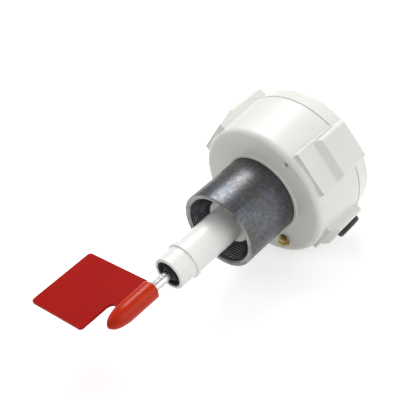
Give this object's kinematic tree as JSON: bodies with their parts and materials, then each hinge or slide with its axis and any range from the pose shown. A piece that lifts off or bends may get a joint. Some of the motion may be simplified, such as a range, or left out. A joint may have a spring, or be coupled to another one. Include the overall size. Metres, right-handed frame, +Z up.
{
  "type": "rotary paddle level switch",
  "caption": "Paddle on a steel shaft that a swinging gear motor turns in a white round housing with a threaded steel socket.",
  "frame": {"origin": "centre of the open rim of the threaded socket, on the shaft axis", "axes": "-Y along the shaft towards the paddle, +Z up with the blade lying flat towards -X"},
  "size_m": [0.1368, 0.2457, 0.1196],
  "materials": {
    "dark_steel": "rolled, dark",
    "white_housing": "satin moulded",
    "red_paddle": "glossy moulded",
    "brass": "turned",
    "black_plastic": "moulded",
    "bright_steel": "turned",
    "motor_case": "satin",
    "zinc_plate": "zinc plated",
    "terminal_grey": "moulded",
    "rubber_seal": "moulded"
  },
  "bodies": {
    "housing": {"threaded_socket": "dark_steel", "housing_body": "white_housing", "lid": "white_housing", "lid_gasket": "rubber_seal", "lid_screws": "bright_steel", "plug_gasket": "rubber_seal", "cable_plug": "black_plastic", "earth_washer": "bright_steel", "earth_clamp": "brass", "earth_screw": "brass", "shaft_tube": "white_housing", "front_bearing": "bright_steel", "rear_bearing": "bright_steel", "bearing_spacer": "motor_case", "shaft_seal": "rubber_seal", "chassis_plate": "zinc_plate", "chassis_screws": "bright_steel", "journal_clip": "bright_steel", "microswitch_a": "black_plastic", "microswitch_b": "black_plastic", "switch_screws": "bright_steel", "spring_post": "bright_steel", "stop_pins": "bright_steel", "return_spring": "bright_steel", "terminal_block": "terminal_grey", "terminal_screws": "bright_steel"},
    "paddle_rotor": {"paddle_shaft": "bright_steel", "shaft_circlips": "bright_steel", "paddle": "red_paddle", "paddle_grub_screw": "bright_steel", "shaft_coupling": "brass", "coupling_screws": "bright_steel", "motor_output_shaft": "bright_steel"},
    "motor_unit": {"motor_carrier": "zinc_plate", "motor_standoffs": "brass", "motor_screws": "bright_steel", "gear_motor": "motor_case"},
    "lever_a": {"switch_lever_a": "bright_steel"},
    "lever_b": {"switch_lever_b": "bright_steel"},
    "button_a": {"switch_button_a": "terminal_grey"},
    "button_b": {"switch_button_b": "terminal_grey"}
  },
  "joints": [
    {"name": "paddle_spin", "type": "hinge", "parent": "housing", "child": "paddle_rotor", "pos_m": [0, 0, 0], "axis": [0, -1, 0], "continuous": true},
    {"name": "motor_swing", "type": "hinge", "parent": "housing", "child": "motor_unit", "pos_m": [0, 0, 0], "axis": [0, -1, 0], "range_deg": [0, 20], "stiffness_Nm_per_rad": 0.3},
    {"name": "lever_a_tilt", "type": "hinge", "parent": "housing", "child": "lever_a", "pos_m": [-0.0193, 0.078, 0.021], "axis": [0, -1, 0], "range_deg": [0, 10]},
    {"name": "lever_b_tilt", "type": "hinge", "parent": "housing", "child": "lever_b", "pos_m": [0.0193, 0.078, -0.021], "axis": [0, -1, 0], "range_deg": [0, 10]},
    {"name": "button_a_press", "type": "slide", "parent": "housing", "child": "button_a", "axis": [-1, 0, 0], "range_m": [0, 0.0008]},
    {"name": "button_b_press", "type": "slide", "parent": "housing", "child": "button_b", "axis": [1, 0, 0], "range_m": [0, 0.0008]}
  ],
  "couplings": [
    {"joint": "lever_a_tilt", "follows": "motor_swing", "ratio": 0.5},
    {"joint": "lever_b_tilt", "follows": "motor_swing", "ratio": 0.5},
    {"joint": "button_a_press", "follows": "motor_swing", "m_per_rad": 0.0022918},
    {"joint": "button_b_press", "follows": "motor_swing", "m_per_rad": 0.0022918}
  ]
}
